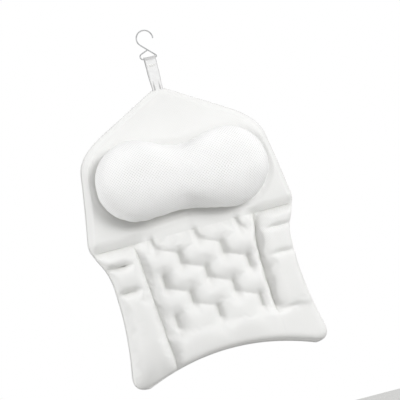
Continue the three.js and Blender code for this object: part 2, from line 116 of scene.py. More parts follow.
# meshes
def addLayer(mesh, name, kind, values):  # a number or a vector per point, read by the fabric materials
    layer = mesh.attributes.new(name, kind, "POINT")
    field = "vector" if kind == "FLOAT_VECTOR" else "value"
    layer.data.foreach_set(field, np.asarray(values, np.float32).ravel())


def meshPiece(name, points, faces, weave=None, drawn=None):
    mesh = bpy.data.meshes.new(name)
    mesh.from_pydata([tuple(p) for p in np.asarray(points, float)], [], [tuple(int(i) for i in f) for f in faces])
    mesh.update()
    if weave is not None:
        addLayer(mesh, "weave", "FLOAT_VECTOR", weave)  # cloth places in mm
    if drawn is not None:
        addLayer(mesh, "drawn", "FLOAT", drawn)  # painted shade in the cloth's creases, folds and round the cushion, 0 to 1
    return intoScene(name, mesh)


def finishPiece(piece, material, body=None, replaced=(), sharp=50):
    mesh = piece.data
    mesh.materials.clear()
    mesh.materials.append(material)
    mesh.polygons.foreach_set("use_smooth", [True] * len(mesh.polygons))
    mesh.set_sharp_from_angle(angle=math.radians(sharp))
    if replaced:
        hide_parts(*replaced)
    if body:
        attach(piece, body)
    return piece


def ringQuads(rings, sides):  # faces between closed rings of points
    places = [(r * sides + k, r * sides + (k + 1) % sides) for r in range(rings - 1) for k in range(sides)]
    return [(a, a + sides, b + sides, b) for a, b in places]


def sandwichFaces(shape):  # faces of two grids of points, front and back, joined round their rim
    rows, columns = shape[0] - 1, shape[1] - 1
    stride, count = shape[1], shape[0] * shape[1]
    cells = [j * stride + i for j in range(rows) for i in range(columns)]
    front = [(a + stride, a + stride + 1, a + 1, a) for a in cells]
    back = [(count + a + stride, count + a, count + a + 1, count + a + stride + 1) for a in cells]
    rim = ([j * stride for j in range(rows)] + [rows * stride + i for i in range(columns)]
           + [j * stride + columns for j in range(rows, 0, -1)] + list(range(columns, 0, -1)))
    return front + back + [(q, p, count + p, count + q) for p, q in zip(rim, rim[1:] + rim[:1])]


def worked(piece, kind, **settings):  # a modifier worked into the mesh
    setUp(piece.modifiers.new(kind.lower(), kind), **settings)
    mesh = bpy.data.meshes.new_from_object(piece.evaluated_get(bpy.context.evaluated_depsgraph_get()))
    piece.modifiers.clear()
    old, piece.data = piece.data, mesh
    bpy.data.meshes.remove(old)
    return piece


def refine(piece):  # smooth subdivision
    return worked(piece, "SUBSURF", levels=1, render_levels=1, boundary_smooth="PRESERVE_CORNERS")


def placesOf(piece):
    found = np.zeros(len(piece.data.vertices) * 3, np.float64)
    piece.data.vertices.foreach_get("co", found)
    return found.reshape(-1, 3)


airCloth = Sizes(mass=0.15, drag=4, shear=0.5)


def inflate(piece, held, puff, freedom=1.0):  # cloth under air pressure, held where it is sewn
    start = placesOf(piece)
    group = piece.vertex_groups.new(name="sewn")
    group.add([int(i) for i in np.flatnonzero(held)], 1.0, "REPLACE")
    cloth = piece.modifiers.new("cloth", "CLOTH")
    setUp(cloth.settings, quality=puff.quality, mass=airCloth.mass, air_damping=airCloth.drag,
          tension_stiffness=puff.stretch, compression_stiffness=puff.stretch,
          shear_stiffness=puff.stretch * airCloth.shear, bending_stiffness=puff.bend, vertex_group_mass="sewn",
          shrink_min=-puff.slack, shrink_max=-puff.slack, use_pressure=True, uniform_pressure_force=puff.pressure)
    cloth.settings.effector_weights.gravity = 0
    setUp(cloth.collision_settings, use_collision=False, use_self_collision=False)
    setUp(cloth.point_cache, frame_start=1, frame_end=puff.frames)
    for step in range(1, puff.frames + 1):
        bpy.context.scene.frame_set(step)
    moved = placesOf(piece.evaluated_get(bpy.context.evaluated_depsgraph_get())) - start
    length = np.linalg.norm(moved, axis=1, keepdims=True)
    cap = puff.cap / 1000
    moved *= np.minimum(1, cap * np.tanh(length / cap) / np.maximum(length, 1e-9)) * freedom
    piece.modifiers.clear()
    piece.vertex_groups.clear()
    bpy.context.scene.frame_set(1)
    piece.data.vertices.foreach_set("co", (start + moved).ravel())
    piece.data.update()
    print("inflated", piece.name, "moved up to", round(float(length.max()) * 1000, 1), "mm")


def inflatePad(piece, held, puff, freedom=1.0):  # the rim and the back of a pad are held too
    held[0] = held[-1] = held[:, 0] = held[:, -1] = True
    sewn = np.concatenate([held.ravel(), np.ones(held.size, bool)])
    inflate(piece, sewn, puff, np.tile(np.broadcast_to(freedom, held.shape).ravel(), 2)[:, None])


def tube(path, radii, sides=12, up=(0, 1, 0)):  # round strand along points in metres
    ahead = headings(path)
    across = np.cross(ahead, np.array(up, float))
    across /= np.maximum(np.linalg.norm(across, axis=1, keepdims=True), 1e-12)
    over = np.cross(across, ahead)
    turn = np.linspace(0, 2 * np.pi, sides, endpoint=False)[None, :, None]
    radii = np.broadcast_to(np.asarray(radii, float), len(path))[:, None, None]
    out = np.cos(turn) * across[:, None] + np.sin(turn) * over[:, None]
    points = (path[:, None] + out * radii).reshape(-1, 3)
    ends = [tuple(range(sides)), tuple(range(len(points) - 1, len(points) - 1 - sides, -1))]
    return points, ringQuads(len(path), sides) + ends


def roundedEnds(path, radius, steps=4):  # path and radii with half-round ends
    angles = np.linspace(0, math.pi / 2, steps + 1)[1:] * 0.97  # stops just short of a point
    out, thin = radius * np.sin(angles)[:, None], radius * np.cos(angles)
    first, last = (v / np.linalg.norm(v) for v in (path[0] - path[1], path[-1] - path[-2]))
    longer = np.vstack([(path[0] + out * first)[::-1], path, path[-1] + out * last])
    return longer, np.concatenate([thin[::-1], np.full(len(path), radius), thin])


def joinParts(name, parts):  # several closed strands as one mesh
    points, faces, offset = [], [], 0
    for somePoints, someFaces in parts:
        points.append(somePoints)
        faces += [tuple(i + offset for i in f) for f in someFaces]
        offset += len(somePoints)
    return meshPiece(name, np.vstack(points), faces)


def outward(piece):
    work = bmesh.new()
    work.from_mesh(piece.data)
    bmesh.ops.remove_doubles(work, verts=work.verts, dist=1e-6)
    bmesh.ops.recalc_face_normals(work, faces=work.faces)
    work.to_mesh(piece.data)
    work.free()
    return piece


# materials
def linear(code):  # sRGB hex to linear
    parts = [int(code[i:i + 2], 16) / 255 for i in (1, 3, 5)]
    return tuple(c / 12.92 if c <= 0.04045 else ((c + 0.055) / 1.055) ** 2.4 for c in parts) + (1.0,)


def addNode(tree, kind, links=None, **settings):  # inputs by name or number: a socket is linked, a value is set
    node = setUp(tree.nodes.new("ShaderNode" + kind), **settings)
    for key, value in (links or {}).items():
        if isinstance(value, bpy.types.NodeSocket):
            tree.links.new(value, node.inputs[key])
        else:
            node.inputs[key].default_value = value
    return node


def sums(tree, operation, *values):
    return addNode(tree, "Math", dict(enumerate(values)), operation=operation).outputs[0]


def ramp(tree, value, to, among=(0.0, 1.0), **settings):  # values among two levels spread over two others
    links = {0: value, 1: among[0], 2: among[1], 3: to[0], 4: to[1]}
    return addNode(tree, "MapRange", links, **settings).outputs[0]


def tone(tree, share, *colours):  # between two colours, each a hex code or a socket
    first, second = (linear(c) if isinstance(c, str) else c for c in colours)
    return addNode(tree, "Mix", {0: share, 6: first, 7: second}, data_type="RGBA").outputs[2]


def noise(tree, place, scale, detail):
    return addNode(tree, "TexNoise", {"Vector": place, "Scale": scale, "Detail": detail}).outputs[0]


def relief(tree, height, strength, high):  # high is the full relief in mm
    return addNode(tree, "Bump", {"Strength": strength, "Distance": high / 1000, "Height": height}).outputs[0]


def clothPlaces(tree):  # places on the cloth in mm, and the painted shade laid into its creases
    weave, drawn = (addNode(tree, "Attribute", attribute_name=name) for name in ("weave", "drawn"))
    return weave.outputs["Vector"], drawn.outputs["Fac"]


def startMaterial(name):
    material = bpy.data.materials.new(name)
    material.use_nodes = True
    material.node_tree.nodes.clear()
    return material, material.node_tree


def endMaterial(material, inputs):
    shader = addNode(material.node_tree, "BsdfPrincipled", inputs)
    addNode(material.node_tree, "OutputMaterial", {"Surface": shader.outputs[0]})
    return material


# Spacer mesh, warp knitted from polyester: a matt white face with rows of fine pores, soft sheen at grazing angles;
# gather is the colour of the painted shade in its creases.
knit = Sizes(
    pores=(0.05, 0.8), patchy=(0.55, 1.0), patches=(0.3, 0.7), fuzz=0.9, high=0.6, rough=(0.82, 0.95), gloss=0.25,
    sheen=0.15, sheenRough=0.5)
spacerMesh = Sizes(thread="#f5f5f4", pore="#e4e4e1", gather="#c6c6c2", bump=0.25, mottle=60,
                   pitch=3.2)  # pores are about 2 mm apart, drawn 3.2 mm to show


def makeSpacerMesh(name, look):
    material, tree = startMaterial(name)
    weave, drawn = clothPlaces(tree)
    axes = addNode(tree, "SeparateXYZ", {0: weave})
    turns = [sums(tree, "MULTIPLY", axes.outputs[i], 2 * math.pi / look.pitch) for i in (0, 1)]
    lattice = sums(tree, "MULTIPLY", *(sums(tree, "COSINE", turn) for turn in turns))
    pores = ramp(tree, lattice, (0.0, 1.0), knit.pores, interpolation_type="SMOOTHSTEP")
    patchy = ramp(tree, noise(tree, weave, 1 / look.mottle, 3.0), knit.patchy, knit.patches)
    depth = sums(tree, "MULTIPLY", pores, patchy)
    # painted shade: the cloth turns to the gather colour where the shade layer marks creases and the cushion's
    # shadow
    colour = tone(tree, drawn, tone(tree, depth, look.thread, look.pore), look.gather)
    height = sums(tree, "MULTIPLY_ADD", depth, -1.0, noise(tree, weave, knit.fuzz, 2.0))
    return endMaterial(material, {
        "Base Color": colour, "Roughness": ramp(tree, depth, knit.rough), "IOR": 1.5,
        "Specular IOR Level": knit.gloss, "Sheen Weight": knit.sheen, "Sheen Roughness": knit.sheenRough,
        "Normal": relief(tree, height, look.bump, knit.high)})


spacerFabric = makeSpacerMesh("Knitted polyester spacer mesh", spacerMesh)

# The same knit with an open diamond face on the head cushion: pores in diagonal rows, deep enough to read as dots;
# gather is its painted shade colour.
diamondMesh = Sizes(thread="#fcfcfc", pore="#e2e2e0", gather="#d4d4d1", bump=0.6, mottle=45,
                    pitch=6.0)  # diagonal rows 4.2 mm apart
diamondFabric = makeSpacerMesh("Knitted polyester diamond mesh", diamondMesh)

# Back sheets: the same spacer mesh from its coarser wrong side; gather is its painted shade colour.
backMesh = Sizes(thread="#eeeeed", pore="#cfcfcd", gather="#c4c4c2", bump=0.6, mottle=70, pitch=4.4)
backFabric = makeSpacerMesh("Knitted polyester backing mesh", backMesh)

# Polyester webbing, shuttle woven: ribs across the strap, finer warp lines along it, a dull silky sheen; gather is
# its painted shade colour.
webbingLook = Sizes(yarn="#fefefe", gap="#eaeaea", gather="#a9a9a9", bump=0.6, high=0.5, rough=(0.8, 0.6),
                    levels=(-1.4, 1.0), rib=1.9, warp=1.4)  # ribs of about 1 mm, drawn 1.9 mm to show


def makeWebbing(look):
    material, tree = startMaterial("Woven polyester webbing")
    weave, drawn = clothPlaces(tree)
    axes = addNode(tree, "SeparateXYZ", {0: weave})
    ribs, lines = (sums(tree, "SINE", sums(tree, "MULTIPLY", axes.outputs[i], 2 * math.pi / look[pitch]))
                   for i, pitch in ((1, "rib"), (0, "warp")))
    woven = sums(tree, "MULTIPLY_ADD", lines, 0.5, ribs)
    raised = ramp(tree, woven, (0.0, 1.0), look.levels, interpolation_type="SMOOTHSTEP")
    # painted shade: the gather colour darkens the webbing at the fold over the bar and in the pleats; it is darker
    # along its edges too
    return endMaterial(material, {
        "Base Color": tone(tree, drawn, tone(tree, raised, look.gap, look.yarn), look.gather),
        "Roughness": ramp(tree, raised, look.rough), "IOR": 1.5, "Specular IOR Level": 0.3, "Sheen Weight": 0.1,
        "Normal": relief(tree, raised, look.bump, look.high)})


webbingFabric = makeWebbing(webbingLook)

# Spun polyester sewing thread: twisted, slightly brighter than the cloth, with a soft lustre.
threadLook = Sizes(light="#fbfbfa", dark="#e9e9e6", twist=1.2, relief=(0.4, 0.2))


def makeThread(look):
    material, tree = startMaterial("Spun polyester thread")
    place = addNode(tree, "TexCoord").outputs["Object"]
    twist = addNode(tree, "TexWave", {"Vector": place, "Scale": 1000 / look.twist / 6.28, "Distortion": 1.0},
                    wave_type="BANDS", bands_direction="DIAGONAL").outputs[1]
    return endMaterial(material, {
        "Base Color": tone(tree, twist, look.dark, look.light), "Roughness": 0.6, "IOR": 1.5,
        "Specular IOR Level": 0.35, "Normal": relief(tree, twist, *look.relief)})


threadMaterial = makeThread(threadLook)


# Plain solids: patches tint them and change their gloss, a finer grain gives them relief.
def makeSolid(name, look):
    material, tree = startMaterial(name)
    place = addNode(tree, "TexCoord").outputs["Object"]
    patches, grain = (noise(tree, place, 1000 / size, detail) for size, detail in (look.patch, look.grain))
    return endMaterial(material, {
        "Base Color": tone(tree, patches, *look.tints), "Roughness": ramp(tree, patches, look.rough, look.among),
        "Normal": relief(tree, grain, *look.relief), **look.more})


# Stainless steel wire, drawn and polished: bright, with faint unevenness from the die.
steelLook = Sizes(tints=("#a2a3a4", "#d6d7d8"), patch=(9, 4.0), grain=(0.5, 2.0), rough=(0.12, 0.28),
                  among=(0.3, 0.7), relief=(0.05, 0.1), more={"Metallic": 1.0})
steelMaterial = makeSolid("Polished stainless wire", steelLook)

# Soft clear PVC, injection moulded: glassy with a cool tint, a little cloudy in the thick parts.
vinylLook = Sizes(tints=("#f7f9f9", "#eaefef"), patch=(14, 3.0), grain=(14, 3.0), rough=(0.06, 0.2),
                  among=(0.3, 0.7), relief=(0.05, 0.4), more={"IOR": 1.53, "Transmission Weight": 0.75})
vinylMaterial = makeSolid("Moulded clear soft PVC", vinylLook)

# Polypropylene, injection moulded in a fine-eroded tool: white, satin, with a faint orange-peel.
eyeletLook = Sizes(tints=("#e0e0dc", "#f1f1ee"), patch=(8, 2.0), grain=(0.8, 2.0), rough=(0.35, 0.5),
                   among=(0.0, 1.0), relief=(0.15, 0.2), more={"IOR": 1.49})
eyeletMaterial = makeSolid("Moulded white polypropylene", eyeletLook)
print("materials made")

# wire hook: open round bend, diagonal neck, closed loop with the strap's bar
wire = Sizes(
    radius=1.3, bend=15.8, tip=-5, barDrop=38.7, barHalf=11.6, neckCorner=2.4, loopCorner=5.5, legRise=22,
    legGap=2.3, sides=16)


def hookLine(w):
    neckAt = np.array([w.barHalf, w.neckCorner - w.barDrop])
    loopAt = np.array([-w.barHalf, w.loopCorner - w.barDrop])
    neckAngle = (math.atan2(neckAt[1], neckAt[0]) % (2 * math.pi)
                 - math.acos((w.bend + w.neckCorner) / np.hypot(*neckAt)))
    legAngle = math.radians(w.legRise)

    def arc(middle, radius, start, end, steps):
        angles = np.linspace(start, end, steps + 1)
        return np.asarray(middle) + radius * beside(np.cos(angles), np.sin(angles))

    bend = arc((0, 0), w.bend, math.radians(w.tip), neckAngle, 56)
    corner = arc(neckAt, w.neckCorner, neckAngle - math.pi, -math.pi / 2, 12)
    loop = arc(loopAt, w.loopCorner, -math.pi / 2, legAngle - 1.5 * math.pi, 18)
    neckHeading = np.array([-math.sin(neckAngle), math.cos(neckAngle)])
    legHeading = np.array([math.cos(legAngle), math.sin(legAngle)])
    cross = legHeading[0] * neckHeading[1] - legHeading[1] * neckHeading[0]
    toNeck = bend[-1] - loop[-1]
    reach = (toNeck[0] * neckHeading[1] - toNeck[1] * neckHeading[0]) / cross - w.legGap / abs(cross)
    neck = np.linspace(bend[-1], corner[0], 12)[1:-1]
    bar = np.linspace(corner[-1], loop[0], 10)[1:-1]
    leg = np.linspace(loop[-1], loop[-1] + legHeading * reach, 8)[1:]
    line = np.vstack([bend, neck, corner, bar, loop, leg])
    return beside(line[:, 0], 0, line[:, 1] + w.radius - w.bend) / 1000


hookPath, hookRadii = roundedEnds(hookLine(wire), wire.radius / 1000)
hookPiece = outward(meshPiece("hook_wire", *tube(hookPath, hookRadii, wire.sides)))
finishPiece(hookPiece, steelMaterial, "hook", ["hook"], sharp=60)
print("hook made")

# webbing strap: a loop round the bar, both legs sewn together and pleated into the apex seam
strap = Sizes(
    width=22, gather=1, length=60.5, thick=1.5, sewn=14, tab=9, turn=2.35, tabOut=0.85, sewnOut=0.95, belly=0.5,
    pleats=(-5.4, 5.2), pleatWide=1.1, pleatDepth=1.4, pleatReach=(3, 19), backPleat=0.4, selvedge=0.25,
    selvedgeFrom=(0.84, 0.9), cupped=0.35, liningLift=0.6, columns=44, drawnEdge=0.55, drawnFrom=(0.8, 0.94),
    drawnFold=0.5, drawnPleat=0.9, foldReach=(-6, -2), bend=(6, -1))


def strapLine(s):  # depth and level of the webbing's middle, from the front tab round the bar to the back tab
    bar, apex = hang.barLevel, hang.apexLevel
    joint, parting = (-s.tabOut, apex), (-s.sewnOut, apex + s.sewn)
    tab = np.linspace((-s.tabOut, apex - s.tab), joint, 6)[:-1]
    t = np.linspace(0, 1, 30)[1:-1]
    leg = beside(mix(-s.sewnOut, -s.turn, t) - s.belly * np.sin(np.pi * t), mix(apex + s.sewn, bar, t))
    angles = np.linspace(0, np.pi / 2, 8)
    fold = beside(-s.turn * np.cos(angles), bar + s.turn * np.sin(angles))
    side = np.vstack([tab, np.linspace(joint, parting, 9), leg, fold])
    return np.vstack([side, side[-2::-1] * [-1, 1]])


def makeStrap(s):
    line = strapLine(s)
    ahead = headings(line)
    normal = beside(-ahead[:, 1], ahead[:, 0])  # outward: to the front on the front leg
    shares = np.linspace(-1, 1, s.columns + 1)[None]
    above = line[:, 1:] - hang.apexLevel
    x = (s.width / 2 - s.gather * (1 - ease(above, 0, s.length / 2))) * shares
    pleat = sum(bell(x - p, s.pleatWide) for p in s.pleats) * (1 - ease(above, *s.pleatReach))
    lift = s.selvedge * ease(np.abs(shares), *s.selvedgeFrom) + s.cupped * shares ** 2
    lift = lift - s.pleatDepth * np.where(line[:, :1] < 0, 1, s.backPleat) * pleat
    bar = hang.barLevel
    # painted shade at the fold over the bar and in the pleats; the webbing is also darker along its edges
    fold = s.drawnFold * ease(line[:, 1:], *(bar + reach for reach in s.foldReach))
    edge = s.drawnEdge * ease(np.abs(shares), *s.drawnFrom)
    drawn = np.clip(np.maximum(edge, fold) + s.drawnPleat * pleat, 0, 1)
    points = []
    for out in (s.thick / 2 + lift, -s.thick / 2 + s.liningLift * lift):
        y, z = (line[:, i:i + 1] + normal[:, i:i + 1] * out for i in (0, 1))
        points.append(beside(x, y, z) / 1000)
    weave = beside(x, lengthAlong(line)[:, None], 0)
    return outward(meshPiece("hanging_webbing", np.vstack(points), sandwichFaces(x.shape), np.tile(weave, (2, 1)),
                             np.tile(drawn.ravel(), 2)))


strapPiece = makeStrap(strap)
finishPiece(strapPiece, webbingFabric, None, ["hanging_strap"], sharp=60)
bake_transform(strapPiece)

# bar-tack: a short row of close stitches through both legs of the strap, below the bar
tack = Sizes(below=14.5, stitches=11, pitch=1.1, high=2.6, radius=0.6, proud=0.1, sides=8)


def makeTack(t):
    level = hang.barLevel - t.below
    line = strapLine(strap)
    front = line[line[:, 0] < 0]
    face = np.interp(level, front[:, 1], front[:, 0]) - strap.thick / 2 - t.proud
    stitches = []
    for side in (1, -1):
        for number in range(t.stitches):
            x = (number - (t.stitches - 1) / 2) * t.pitch
            ends = [(x, side * face, level + z * t.high / 2) for z in np.linspace(-1, 1, 5)]
            stitches.append(tube(*roundedEnds(np.array(ends) / 1000, t.radius / 1000, 3), t.sides))
    return outward(joinParts("strap_tack", stitches))


finishPiece(makeTack(tack), threadMaterial, "strap", (), sharp=60)
print("strap made")

# the soft pillow hangs a little askew: places are laid out square, then settled
askew = Sizes(drift=4.5, driftFrom=60, driftTo=215, sway=3.6, rowTilt=1.4, tiltFrom=200, seam=269)


def settle(x, down):
    drift = askew.drift * ease(down, askew.driftFrom, askew.driftTo)
    lean = math.tan(math.radians(askew.sway)) * np.maximum(0, down - askew.seam)
    lift = math.tan(math.radians(askew.rowTilt)) * x * ease(down, askew.tiltFrom, askew.seam)
    return x + drift + lean, down - lift


def hung(x, depth, down):  # points of the frame for places laid out square
    settledX, settledDown = settle(x, down)
    return onPillow(settledX, depth, settledDown)


def padMesh(name, x, down, front, back, sharpRow=None, drawn=None):  # closed pad between two depths
    rows, stride = x.shape
    points = np.vstack([hung(x, front, down), hung(x, back, down)])
    weave = beside(x, down, 0)
    drawn = np.concatenate([np.zeros(x.size) if drawn is None else drawn.ravel(), np.zeros(x.size)])
    piece = meshPiece(name, points, sandwichFaces(x.shape), np.vstack([weave, weave + [0, 0, 1]]), drawn)
    if sharpRow is not None:  # this row's front edge stays crisp when the pad is refined
        first = stride * (sharpRow % rows)
        crease = piece.data.attributes.new("crease_edge", "FLOAT", "EDGE")
        for edge in piece.data.edges:
            crease.data[edge.index].value = float(all(first <= v < first + stride for v in edge.vertices))
    return piece


def spread(share, crowding=0.6):  # crowds rows and columns towards rounded edges
    return mix(share, (1 - np.cos(np.pi * share)) / 2, crowding)


def pillowPlaces(piece):  # x, depth and down of a piece's points
    local = (placesOf(piece) - pillowShift) @ pillowTurn * 1000
    return local[:, 0], -local[:, 1], -local[:, 2]


def segmentAway(x, down, a, b):
    span = np.array(b, float) - np.array(a, float)
    share = np.clip(((x - a[0]) * span[0] + (down - a[1]) * span[1]) / (span @ span), 0, 1)
    return np.hypot(x - a[0] - share * span[0], down - a[1] - share * span[1])


# suction cups stand behind the panels; the padding is hollowed for their stem heads
cupPlaces = [(0, 80), (-130, 208), (130, 208), (-141, 334), (141, 334), (-145, 476), (145, 476)]
headCups = 3  # the first ones sit on the head panel, the others on the lumbar panel
backFace = Sizes(depth=0.4, hollow=7.2, hollowHalf=10.5, hollowEnd=17)


def awayFromCups(x, down, low, high):  # 0 within the low distance of a cup, 1 beyond the high one
    nearest = np.min([np.hypot(x - cupX, down - cupDown) for cupX, cupDown in cupPlaces], axis=0)
    return ease(nearest, low, high)


def padBack(x, down):
    hollow = 1 - awayFromCups(x, down, backFace.hollowHalf, backFace.hollowEnd)
    return backFace.depth + backFace.hollow * hollow


# head cushion: two lobes, sewn a little askew
cushion = Sizes(
    down=164, tilt=3.7, spacing=86, radius=79, upperNotch=58, lowerNotch=70, height=74, girth=0.24, flatLeft=0.68,
    flatRight=0.52, flatReach=70, flatLow=0.86, lowFrom=(0.1, 0.9), foot=0.9, saddle=0.13, lift=0.3, sewnHigh=7,
    voxel=5, start=0.965, spokes=48, domeRings=22, footRings=8, domeSlope=0.49, wallSlope=1.06)
cushionPuff = Sizes(pressure=5, frames=18, quality=5, stretch=14, bend=0.6, slack=0.02, cap=8)


def lobeHalf(x, notch):
    share = np.clip(np.abs(x) / cushion.spacing, 0, 1)
    return mix(notch, cushion.radius, (1 - np.cos(np.pi * share)) / 2)


def cushionPolar(x, down):  # place on the cushion's middle line, way out from it, distance and outline there
    turn = math.radians(cushion.tilt)
    up = cushion.down - down
    along = x * math.cos(turn) - up * math.sin(turn)
    across = x * math.sin(turn) + up * math.cos(turn)
    root = np.clip(along, -cushion.spacing, cushion.spacing)
    beyond = along - root
    notch = np.where(across > 0, cushion.upperNotch, cushion.lowerNotch)
    outline = np.where(beyond == 0, lobeHalf(root, notch), cushion.radius)
    return root, beyond, across, np.hypot(beyond, across), outline


def cushionShare(x, down):
    polar = cushionPolar(x, down)
    return polar[3] / polar[4]


# outlines of both panels, rounded off where they meet
head = Sizes(
    length=269, apexHalf=12.5, roof=(123.5, 62), shoulder=(176, 91.6), side=(180.5, 125), seamHalf=203.5, corner=7,
    cornerReach=21, rim=3.3, flapPlump=6, flapFlat=40, plump=16, roll=11, seat=13, seatShare=1.03, seatRise=0.16,
    columns=92, rows=66, stitchIn=6.5, stitchSink=1.2, stitchWide=2.0, stitchEnd=(6, 30), lipRoll=20, slopeRoll=34,
    lipFrom=(80, 130), notch=6, rowCrowding=0.5)
headPuff = Sizes(pressure=1.5, frames=12, quality=5, stretch=15, bend=4, slack=0.0, cap=3)
headPath = np.vstack([[(head.apexHalf, 0)], bow(head.roof, head.shoulder, head.side),
                      [(head.seamHalf, head.length)]])
lumbar = Sizes(
    waist=(175, 360), flank=(172, 298), hip=(173, 425), foot=(191.5, 510), corner=194.5, footDown=535,
    footMiddle=166, arch=502, grooveTop=120, grooveWaist=107.5, grooveRun=220, leftGroove=0.36, quiltPlump=25,
    bolsterPlump=31, bandPlump=27, bandDown=456, bandRise=9, bandEnd=146, quiltRoll=44, rightRoll=18, leftRoll=27,
    rollFrom=(85, 125), bottomRoll=28, bottomTurn=5, leftFootRoll=74, leftFootTurn=1.6, footFrom=(90, 140),
    bolsterRound=5.5, footRound=2.2, footRoundFrom=(440, 515), rightGrooveRoll=20, rightGrooveTurn=0.6,
    leftGrooveRoll=24, leftGrooveTurn=0.8, leftRidge=0.42, rightRidge=0.42, leftFlank=0.5, rightFlank=1.5,
    seamMiddle=18.5, seamSide=4, seamFrom=(86, 118), quiltColumns=72, bolsterColumns=22, rows=82)
lumbarPuff = Sizes(pressure=3.0, frames=16, quality=6, stretch=12, bend=1.2, slack=0.02, cap=3.5)
footCurve = (lumbar.foot, (lumbar.corner, lumbar.footDown), (lumbar.footMiddle, lumbar.footDown))
lumbarPath = np.vstack([bow((head.seamHalf, head.length), lumbar.flank, lumbar.waist),
                        bow(lumbar.waist, lumbar.hip, lumbar.foot)[1:], bow(*footCurve)[1:]])


def roundedOff(down):
    return head.corner * np.clip(1 - np.abs(down - head.length) / head.cornerReach, 0, 1) ** 2


def headHalf(down):
    return np.interp(down, headPath[:, 1], headPath[:, 0]) - roundedOff(down)


def lumbarHalf(down):
    return np.interp(down, lumbarPath[:, 1], lumbarPath[:, 0]) - roundedOff(down)


def grooveHalf(x, down):  # the right groove follows the waist, the left one runs straighter
    curved = 1 - rise(down - head.length, lumbar.waist[1] - head.length)
    straight = 1 - np.clip((down - head.length) / lumbar.grooveRun, 0, 1)
    narrowing = np.where(np.asarray(x) < 0, straight, curved)
    return lumbar.grooveWaist + (lumbar.grooveTop - lumbar.grooveWaist) * narrowing


def bottomEdge(x):
    inside = np.minimum(np.abs(x), lumbar.footMiddle)
    return mix(lumbar.arch, lumbar.footDown, (inside / lumbar.footMiddle) ** 2)


# lumbar padding: tufted quilt, two bolsters with tucks, a band across the bottom that the right bolster ends on
tuft = Sizes(
    rows=5, start=278, rowPitch=38, pitch=83.5, dip=17, dipSpread=14, slit=10, slitSpread=4, bar=10, toRight=17,
    toLeft=5, channelWide=9, blend=3, slant=7, inset=4, held=2.4, firm=(1.05, 1.1, 1.05, 1.0, 0.8),
    slack=(1.0, 1.0, 0.9, 0.6, 0))
tuftPlaces = [(place * tuft.pitch, tuft.start + row * tuft.rowPitch)
              for row in range(tuft.rows) for place in ((-1, 0, 1) if row % 2 == 0 else (-0.5, 0.5))]
tuck = Sizes(
    downs=(303, 353), leftSink=26, rightSink=11, leftSpread=5, rightSpread=3.4, leftInner=0.36, rightInner=0.31,
    fade=0.14, held=2.2, end=13, endSpread=5, endFade=0.6)


def tuftSlit(x, down):  # both ends of a tuft's slit; those of the first row slant to the right
    slant, inset = (tuft.slant, tuft.inset) if down == tuft.start else (0, 0)
    return (x - slant / 3, down - tuft.bar + inset), (x + slant, down + tuft.bar)


def tuftAway(x, down):  # distance to the nearest tuft's slit
    return np.min([segmentAway(x, down, *tuftSlit(*place)) for place in tuftPlaces], axis=0)


def tuckAway(down):  # distance to the nearest tuck
    return np.min([np.abs(down - at) for at in tuck.downs], axis=0)


def bySide(x, sizes, name):  # the left or the right size of two
    return np.where(x < 0, sizes["left" + name], sizes["right" + name])


def bandRise(down):
    return ease(down, lumbar.bandDown - lumbar.bandRise, lumbar.bandDown + lumbar.bandRise)


def bandShare(x, down):
    return np.where(x > 0, bandRise(down), 0)


def bolsterEnd(x, down):  # crease across the right bolster's end
    start = float(grooveHalf(1, lumbar.bandDown))
    away = segmentAway(x, down, (start, lumbar.bandDown), (lumbar.bandEnd, lumbar.bandDown))
    return tuck.end * np.exp(-away / tuck.endSpread) * (1 - tuck.endFade * ease(x, start, lumbar.bandEnd))


def grooveFloor(x):  # the left groove is a shallow crease, the right one is sewn down
    return np.where(x < 0, lumbar.leftGroove, 0.0)


def quiltHeight(x, down):
    m, t = lumbar, tuft
    inside = grooveHalf(x, down) - np.abs(x)
    swell = rise(inside, bySide(x, m, "GrooveRoll")) ** bySide(x, m, "GrooveTurn")
    swell = mix(mix(grooveFloor(x), 1, swell), 1, bandShare(x, down))
    sinks = [bolsterEnd(x, down)]
    for tuftX, tuftDown in tuftPlaces:
        row = round((tuftDown - t.start) / t.rowPitch)
        away = segmentAway(x, down, *tuftSlit(tuftX, tuftDown))
        dip = t.dip * np.exp(-away / t.dipSpread) + t.slit * np.exp(-away / t.slitSpread)
        sinks.append(t.firm[row] * dip)
        for side, depth in ((0.5, t.toRight), (-0.5, t.toLeft)):  # slack channels to the tufts below
            below = (tuftX + side * t.pitch, tuftDown + t.rowPitch)
            if below in tuftPlaces:
                away = segmentAway(x, down, (tuftX, tuftDown + t.bar), (below[0], below[1] - t.bar))
                sinks.append(depth * t.slack[row] * np.exp(-away / t.channelWide))
    sunk = sum(s ** t.blend for s in sinks) ** (1 / t.blend)  # blended, so the bumps between them stay round
    return np.maximum(0, mix(m.quiltPlump, m.bandPlump, bandRise(down)) - sunk) * swell


def bolsterHeight(x, down, share):
    m = lumbar
    band = bandShare(x, down)
    ridge = bySide(x, m, "Ridge")
    turn = mix(m.bolsterRound, m.footRound, ease(down, *m.footRoundFrom) * (x < 0))  # the left foot slopes off
    outer = np.clip(1 - np.clip((share - ridge) / (1 - ridge), 0, 1) ** turn, 0, 1) ** 0.5
    inner = mix(grooveFloor(x) * m.quiltPlump / m.bolsterPlump, 1, rise(share, ridge) ** bySide(x, m, "Flank"))
    crown = np.where(share < ridge, mix(inner, 1, band), outer)
    across = ease(share - bySide(x, tuck, "Inner"), -tuck.fade, tuck.fade)
    tucked = bySide(x, tuck, "Sink") * across * np.exp(-tuckAway(down) / bySide(x, tuck, "Spread"))
    sunk = np.maximum(np.where(x > 0, bolsterEnd(x, down), 0), tucked)
    return np.maximum(0, mix(m.bolsterPlump, m.bandPlump, band) - sunk) * crown


